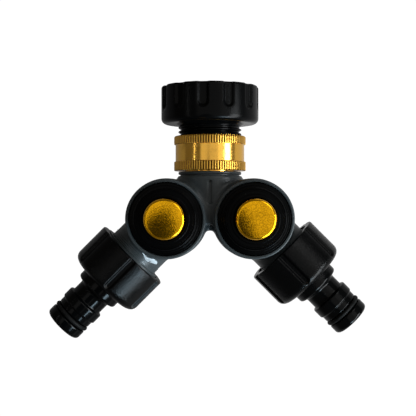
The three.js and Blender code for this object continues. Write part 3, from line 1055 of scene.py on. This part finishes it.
def bonnet_corners():
    """The stepped section of a bonnet, with two fine lines cut in its bezel."""
    cut, lines = 0.12, []
    for radius in (11.9, 11.3):
        lines += [(radius, BEZEL, 0.05), (radius - cut, BEZEL + cut, 0.05), (radius - 2 * cut, BEZEL, 0.05)]
    return [
        (8.6, -16.0, FINE),
        (8.6, BEZEL - 0.6, 0.2),
        (9.8, BEZEL - 0.6, 0.25),
        (9.8, BEZEL, 0.1),
        *lines[::-1],
        (12.4, BEZEL, 0.45),
        (12.4, -21.2, 0.2),
        (13.4, -21.1, 0.3),
        (13.4, -19.2, FINE),
        (14.5, -19.1, 0.3),
        (14.5, -16.6, FINE),
        (13.0, -16.6, FINE),
        (13.0, -7.0, 0.3),
        (10.6, -7.0, FINE),
        (10.6, -13.5, FINE),
        (5.2, -13.5, FINE),
        (5.2, -8.0, FINE),
        (3.4, -8.0, FINE),
        (3.4, -16.0, FINE),
    ]


def button_corners(face):
    """A cup with a slightly domed face, and a stub inside that the stem holds."""
    crown, skirt, inside = 0.35, -21.3, 6.9
    dome = [(r, face + crown * (r / BUTTON) ** 2, 0) for r in (0, 1.5, 3.0, 4.5, 6.0)]
    return [
        *dome,
        (BUTTON, face + crown, 1.15),
        (BUTTON, skirt, 0.2),
        (inside, skirt, FINE),
        (inside, face + 1.8, 0.3),
        (3.6, face + 1.8, 0.2),
        (3.6, -25.0, FINE),
        (2.5, -25.0, FINE),
        (2.5, -29.7, 0),
        (0, -29.7, 0),
    ]


STEM = [
    (0, -29.4, 0),
    (2.2, -29.4, 0.3),
    (2.2, -21.5, 0.1),
    (3.0, -21.2, FINE),
    (3.0, -15.2, 0.1),
    (1.9, -15.2, 0.1),
    (1.9, -13.4, 0.1),
    (3.0, -13.4, 0.1),
    (3.0, -8.2, 0.2),
    (2.0, -8.2, 0.1),
    (2.0, -0.5, 0.1),
    (1.5, -0.5, 0),
    (1.5, -5.0, 0),
    (0, -5.0, 0),
]
SCREW = [
    (0, -4.5, 0),
    (1.2, -4.5, 0.3),
    (1.2, 2.0, 0),
    (2.6, 2.0, 0.1),
    (2.6, 3.4, 0.6),
    (0.7, 3.4, 0),
    (0, 2.9, 0),
]


def open_ring(inner, outer, low, high, opening, columns=72):
    """A flat ring with a gap, as a clip that is pushed on from the side."""
    bm = bmesh.new()
    around = [opening + (2 * math.pi - 2 * opening) * k / columns for k in range(columns + 1)]
    section = ((inner, low), (outer, low), (outer, high), (inner, high))
    rings = [[bm.verts.new((r * math.cos(a), r * math.sin(a), h)) for r, h in section] for a in around]
    for first, second in zip(rings, rings[1:]):
        for k in range(4):
            n = (k + 1) % 4
            bm.faces.new((first[k], first[n], second[n], second[k]))
    bm.faces.new(rings[0][::-1])
    bm.faces.new(rings[-1])
    bmesh.ops.recalc_face_normals(bm, faces=bm.faces)
    edges = [e for e in bm.edges if not e.is_boundary and e.calc_face_angle(0) > math.radians(60)]
    bmesh.ops.bevel(bm, geom=edges, offset=0.08, segments=2, affect="EDGES")
    mesh = bpy.data.meshes.new("open_ring")
    bm.to_mesh(mesh)
    bm.free()
    return mesh


def latch_values(width, depth, kept, wall):
    """Four straight slots for the whole length of a latch ring. A minus depth cuts them outwards."""
    return {
        "Count": 4,
        "Phase": 0,
        "Width": width,
        "Length": 100,
        "Depth": depth,
        "Edge": 0.25,
        "Mouth": -50,
        "Direction": 1,
        "Kept": kept,
        "Wall": wall,
    }


class SPLITTER_OT_bonnets(Operator):
    """Build the black stepped bonnets and their ring seals"""
    bl_idname = "splitter.bonnets"
    bl_label = "Bonnets"

    def execute(self, context):
        dull = finish_for("dull_black_plastic")
        for side in SIDES:
            place, node = at_valve(side), f"{side}_bonnet"
            bonnet = turned(rounded(bonnet_corners()), 160)
            add_piece(f"{side}_valve_bonnet", bonnet, place, "body", "black_plastic", [node], dull)
            seal = turned(torus_outline(13.95, 0.5, -15.9))
            add_piece(f"{side}_bonnet_seal", seal, place, "body", "rubber", [f"{side}_bonnet_o_ring"])
        return {"FINISHED"}


class SPLITTER_OT_buttons(Operator):
    """Build the brass buttons"""
    bl_idname = "splitter.buttons"
    bl_label = "Buttons"

    def execute(self, context):
        for side in SIDES:
            node = f"{side}_button_cap"
            cap = turned(rounded(button_corners(span(node, 1)[0])), 160)
            add_piece(f"{side}_button", cap, at_valve(side), f"{side}_button", "gold_button", [node])
        return {"FINISHED"}


class SPLITTER_OT_valve_inside(Operator):
    """Build the stems, latches, plungers, seats, clips and springs"""
    bl_idname = "splitter.valve_inside"
    bl_label = "Valve insides"

    def execute(self, context):
        for side in SIDES:
            self.build(side)
        return {"FINISHED"}

    def build(self, side):
        place, moving = at_valve(side), f"{side}_button"

        def add(piece, mesh, body, slot):
            return add_piece(f"{side}_{piece}_detail", mesh, place, body, slot, [f"{side}_{piece}"])

        add("stem", turned(rounded(STEM), 64), moving, "steel")
        add("stem_o_ring", turned(torus_outline(2.65, 0.55, -14.3), 64), moving, "rubber")
        add("plunger", turned(flat_ring(2.3, 6.8, -3.2, -0.5, 0.3)), moving, "black_plastic")
        add("plunger_seal", turned(flat_ring(1.6, 6.6, -0.2, 1.8, 0.3)), moving, "rubber")
        add("plunger_screw", turned(rounded(SCREW), 48), moving, "steel")
        add("retaining_clip", open_ring(2.2, 4.2, -7.7, -6.9, math.radians(40)), moving, "steel")
        add("valve_seat", turned(flat_ring(4.5, 8.0, 7.2, 9.7, 0.4)), "body", "brass")
        latch = grip_shaper()
        sleeve = turned(flat_ring(6.2, 10.3, -9.5, -4.0, 0.2), 192)
        slotted = latch.run(sleeve, latch_values(3.0, -1.4, 8.5, 7.7), "white_plastic")
        add("latch_sleeve", slotted, "body", "white_plastic")
        rotor = turned(flat_ring(2.3, 7.2, -6.6, -3.6, 0.2), 192)
        lugged = latch.run(rotor, latch_values(9.3, 1.6, 5.0, 6.5), "white_plastic")
        add("latch_rotor", lugged, moving, "white_plastic")
        coil = {"Turns": 5.5, "Radius": 5.4, "Wire": 0.5, "From": -29.4, "To": -17.0}
        wire = coil_shaper().run(bpy.data.meshes.new("none"), coil, "steel")
        spring = add("return_spring", wire, "body", "steel")
        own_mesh(spring)


# -----------------------------------------------------------------------------
# Hose tails
# -----------------------------------------------------------------------------
TAIL = {"nut": 16.7, "shoulder": 17.5, "socket": 14.8, "bore": 4.6}
TAIL_PHASE = {"left": 8, "right": 9}


def spigot_corners():
    return [
        (TAIL["bore"], 15.2, 0),
        (9.8, 15.2, 0),
        (9.8, 21.6, 1.1),
        (7.3, 22.3, 1.2),
        (7.3, 27.4, 0.6),
        (8.55, 27.9, 0.7),
        (8.55, 32.0, 0.7),
        (7.95, 32.5, 0.2),
        (7.95, 35.0, 0.45),
        (6.45, 35.0, 0.2),
        (6.45, 37.5, 0.2),
        (8.35, 37.5, 0.6),
        (8.35, 41.9, 1.4),
        (TAIL["bore"], 41.9, 0.3),
    ]


class SPLITTER_OT_hose_tails(Operator):
    """Build the black hose tails with their washers and ring seals"""
    bl_idname = "splitter.hose_tails"
    bl_label = "Hose tails"

    def execute(self, context):
        for side in SIDES:
            self.build(side)
        return {"FINISHED"}

    def build(self, side):
        grips, mouth, sign = settings().grips, TAIL_MOUTH[side], SIDES[side]
        lining, place = 13.75, on_arm(side)
        nut = [
            (lining, mouth, 0.2),
            (TAIL["nut"], mouth, 0.6),
            (TAIL["nut"], mouth + TAIL["shoulder"], 3.0),
            (8.6, mouth + TAIL["shoulder"], 0),
            (8.6, mouth + TAIL["socket"], 0),
            (lining, mouth + TAIL["socket"], 0),
        ]
        reach = ((TAIL["nut"] - 3, TAIL["nut"]), (mouth, mouth + TAIL["shoulder"]))
        rows = filled_in(rounded(nut), 0.5, reach)
        shape = {
            "Count": grips.tail_count,
            "Phase": math.radians(-90 + sign * TAIL_PHASE[side]),
            "Width": grips.tail_width / MM,
            "Length": grips.tail_length / MM,
            "Depth": grips.tail_depth / MM,
            "Edge": 1.1,
            "Mouth": mouth,
            "Direction": 1,
            "Kept": 14.3,
            "Wall": 15.6,
        }
        grooved = grip_shaper().run(turned(rows, 432), shape, "black_plastic")
        thread = female_thread(mouth + 0.6, mouth + TAIL["socket"] - 1, lining + 0.1, "black_plastic")
        spigot = turned([(r, mouth + h) for r, h in rounded(spigot_corners())], 128)
        whole, grained = joined([grooved, thread, spigot]), finish_for("grained_black_plastic")
        add_piece(f"{side}_quick_tail", whole, place, "body", "black_plastic", [f"{side}_hose_tail"], grained)

        washer = flat_ring(WATER_WAY, 13.0, mouth + 12.6, mouth + 14.6, 0.3)
        add_piece(f"{side}_tail_flat_seal", turned(washer), place, "body", "rubber", [f"{side}_tail_washer"])
        seal = turned(torus_outline(7.65, 0.85, mouth + 36.25), 128)
        add_piece(f"{side}_tail_ring_seal", seal, place, "body", "rubber", [f"{side}_tail_o_ring"])


class SPLITTER_OT_flow_mark(Operator):
    """Print a plain arrow and ticks on the left arm, to show which way the water goes"""
    bl_idname = "splitter.flow_mark"
    bl_label = "Flow mark"

    def execute(self, context):
        skin, towards = ARM + 0.05, math.radians(-90 - 30)  # 30 degrees below the arm's front
        start, shaft, head = 41.0, 1.0, 1.8
        half_shaft, half_head = 0.1, 0.34
        outline = [
            (-half_shaft, 0),
            (half_shaft, 0),
            (half_shaft, shaft),
            (half_head, shaft),
            (0, head),
            (-half_head, shaft),
            (-half_shaft, shaft),
        ]
        bm = bmesh.new()
        corners = []
        for across, along in outline:
            angle = towards + across / skin
            corners.append(bm.verts.new((skin * math.cos(angle), skin * math.sin(angle), start + along)))
        face = bm.faces.new(corners)
        bmesh.ops.triangulate(bm, faces=[face])
        bmesh.ops.solidify(bm, geom=bm.faces[:], thickness=0.04)
        bmesh.ops.recalc_face_normals(bm, faces=bm.faces)
        arrow = bpy.data.meshes.new("arrow")
        bm.to_mesh(arrow)
        bm.free()
        ticks = {
            "Count": 3,
            "First": towards - 0.06,
            "Step": 0.06,
            "Radius": skin - 0.02,
            "Width": 0.2,
            "Reach": 0.06,
            "Height": 1.4,
            "At": start + 3.0,
        }
        bars = spoke_shaper().run(bpy.data.meshes.new("none"), ticks, "ink")
        whole, ink = joined([arrow, bars]), finish_for("ink")
        add_piece("flow_mark", whole, on_arm("left"), "body", "grey_plastic", finish=ink)
        return {"FINISHED"}


# -----------------------------------------------------------------------------
# Stage
# -----------------------------------------------------------------------------
LOOK_AT = Vector((0, 0, -0.055))
CAMERA_AT = Vector((-0.0008, -0.378, -0.0508))
LENS = 77.9


class StageSettings(PropertyGroup):
    table: brightness("Table", "Brightness of the white table behind", 1.04)
    glow: brightness("Glow", "Brightness of the table as the object reflects it", 0.4)
    room: brightness("Room", "Brightness of the room round the object", 0.14)
    window: brightness("Window", "Brightness of the window on the right", 17.0)
    high_window: brightness("High window", "Brightness of the light above on the right", 2.6)
    low_window: brightness("Low window", "Brightness of the blue sky, low on the right", 30.0)
    slit: brightness("Slit", "Brightness of the narrow light on the left", 8.0)
    wall: brightness("Wall", "Brightness of the wall in front", 0.62)
    lit_wall: brightness("Lit wall", "Brightness of the wall on the right", 1.1)


# Each light's azimuth to the right of the camera, elevation, distance, width, height and colour
LIGHTS = {
    "window": (60, -20, 0.7, 0.27, 0.75, (0.92, 0.97, 1.0)),
    "high_window": (36, 33, 0.7, 0.3, 0.3, (1.0, 1.0, 1.0)),
    "low_window": (42, -42, 0.7, 0.22, 0.18, (0.6, 0.84, 1.0)),
    "slit": (-52, 0, 0.7, 0.012, 0.5, (1.0, 1.0, 1.0)),
    "wall": (-3, 2, 0.9, 0.95, 1.0, (1.0, 0.97, 0.92)),
    "lit_wall": (35, 2, 0.8, 0.26, 0.9, (1.0, 0.98, 0.94)),
}
SHADE_AT = -0.55  # behind the camera
SHADE_OUTLINE = (
    (-0.24, -0.36),
    (0.02, -0.36),
    (0.05, -0.17),
    (0.005, -0.06),
    (-0.02, 0.005),
    (-0.09, -0.02),
    (-0.24, -0.14),
)


def emitter(name, radiance):
    """A soft rectangular light that faces the object."""
    azimuth, elevation, distance, width, height, tint = LIGHTS[name]
    azimuth, elevation = math.radians(azimuth), math.radians(elevation)
    flat = math.cos(elevation)
    away = Vector((math.sin(azimuth) * flat, -math.cos(azimuth) * flat, math.sin(elevation)))
    light = bpy.data.lights.new(name, "AREA")
    light.shape = "RECTANGLE"
    light.size, light.size_y = width, height
    light.energy = radiance * math.pi * width * height
    light.color = tint
    lamp = bpy.data.objects.new(name, light)
    lamp.location = LOOK_AT + away * distance
    lamp.rotation_euler = away.to_track_quat("Z", "Y").to_euler()
    bpy.context.collection.objects.link(lamp)


class SPLITTER_OT_stage(Operator):
    """Make the white table behind, the lights and the camera"""
    bl_idname = "splitter.stage"
    bl_label = "Stage"

    def execute(self, context):
        stage = context.scene.splitter_stage
        self.make_table(stage.table, stage.glow)
        self.make_room(stage.room)
        for name in LIGHTS:
            emitter(name, getattr(stage, name))
        self.make_shade()
        camera = bpy.data.objects.new("camera", bpy.data.cameras.new("camera"))
        camera.location = CAMERA_AT
        camera.rotation_euler = (math.radians(90), 0, 0)
        camera.data.lens = LENS
        camera.data.sensor_width = 36
        camera.data.clip_start = 0.01
        context.collection.objects.link(camera)
        context.scene.camera = camera
        context.scene.view_settings.view_transform = "Standard"
        return {"FINISHED"}

    @staticmethod
    def make_shade():
        """A dark panel behind the camera, a little to its left, that keeps the wall off the left button."""
        mesh = bpy.data.meshes.new("shade")
        corners = [(x, SHADE_AT, z) for x, z in SHADE_OUTLINE]
        mesh.from_pydata(corners, [], [range(len(corners))])
        shade = bpy.data.objects.new("shade", mesh)
        bpy.context.collection.objects.link(shade)
        material = bpy.data.materials.new("shade")
        material.use_nodes = True
        material.node_tree.nodes["Principled BSDF"].inputs["Base Color"].default_value = (0.01, 0.01, 0.01, 1)
        mesh.materials.append(material)

    @staticmethod
    def make_table(brightness, glow):
        """A white table just behind the casings, dimmer in reflections, and clear from its back."""
        half, behind = 2.0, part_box("splitter_body")[1][1] + 0.0005
        corners = [(-half, behind, -half), (half, behind, -half), (half, behind, half), (-half, behind, half)]
        mesh = bpy.data.meshes.new("table")
        mesh.from_pydata(corners, [], [(0, 1, 2, 3)])
        table = bpy.data.objects.new("table", mesh)
        bpy.context.collection.objects.link(table)
        material = bpy.data.materials.new("table")
        material.use_nodes = True
        material.node_tree.nodes.clear()
        graph = Graph(material.node_tree)
        seen = graph.node("ShaderNodeLightPath")
        place = graph.node("ShaderNodeTexCoord", output=3)
        reflected = graph.parts(place)[0].step(-0.02, 0.02) * glow + glow * 0.6
        strength = seen * brightness + (1 - seen) * reflected
        white = graph.node("ShaderNodeEmission", inputs={"Color": (1, 1, 1, 1), "Strength": strength})
        clear = graph.node("ShaderNodeBsdfTransparent")
        behind_it = graph.node("ShaderNodeNewGeometry", output=6)
        either = graph.node("ShaderNodeMixShader", inputs={0: behind_it, 1: white, 2: clear})
        graph.node("ShaderNodeOutputMaterial", inputs={"Surface": either})
        mesh.materials.append(material)

    @staticmethod
    def make_room(brightness):
        """A dim room, with white beyond it where the camera looks past the table."""
        world = bpy.data.worlds.new("room")
        world.use_nodes = True
        world.node_tree.nodes.clear()
        graph = Graph(world.node_tree)
        seen = graph.node("ShaderNodeLightPath")
        warm_light = {"Color": (1.0, 0.93, 0.82, 1), "Strength": brightness}
        dim = graph.node("ShaderNodeBackground", inputs=warm_light)
        white = graph.node("ShaderNodeBackground", inputs={"Color": (1, 1, 1, 1), "Strength": 1.0})
        either = graph.node("ShaderNodeMixShader", inputs={0: seen, 1: dim, 2: white})
        graph.node("ShaderNodeOutputWorld", inputs={"Surface": either})
        bpy.context.scene.world = world


# -----------------------------------------------------------------------------
# Panel and running
# -----------------------------------------------------------------------------
OPERATORS = (
    SPLITTER_OT_stage,
    SPLITTER_OT_tap_adapter,
    SPLITTER_OT_swivel_nut,
    SPLITTER_OT_inlet_seals,
    SPLITTER_OT_tailpiece,
    SPLITTER_OT_forked_body,
    SPLITTER_OT_bonnets,
    SPLITTER_OT_buttons,
    SPLITTER_OT_valve_inside,
    SPLITTER_OT_hose_tails,
    SPLITTER_OT_flow_mark,
)


class SPLITTER_PT_pieces(Panel):
    """Lists the operators that build the hose splitter"""
    bl_label = "Hose splitter"
    bl_space_type = "VIEW_3D"
    bl_region_type = "UI"
    bl_category = "Hose splitter"

    def draw(self, context):
        for operator in OPERATORS:
            self.layout.operator(operator.bl_idname)


GROUPS = (GripSizes, ThreadSizes, KnurlSizes, Colours, SplitterSettings, StageSettings)
CLASSES = (*GROUPS, *OPERATORS, SPLITTER_PT_pieces)


def register():
    for cls in CLASSES:
        bpy.utils.register_class(cls)
    bpy.types.Scene.hose_splitter = PointerProperty(type=SplitterSettings)
    bpy.types.Scene.splitter_stage = PointerProperty(type=StageSettings)


def unregister():
    del bpy.types.Scene.splitter_stage
    del bpy.types.Scene.hose_splitter
    for cls in reversed(CLASSES):
        bpy.utils.unregister_class(cls)


def main():
    register()
    for operator in OPERATORS:
        group, name = operator.bl_idname.split(".")
        getattr(getattr(bpy.ops, group), name)()


if __name__ == "__main__":
    main()
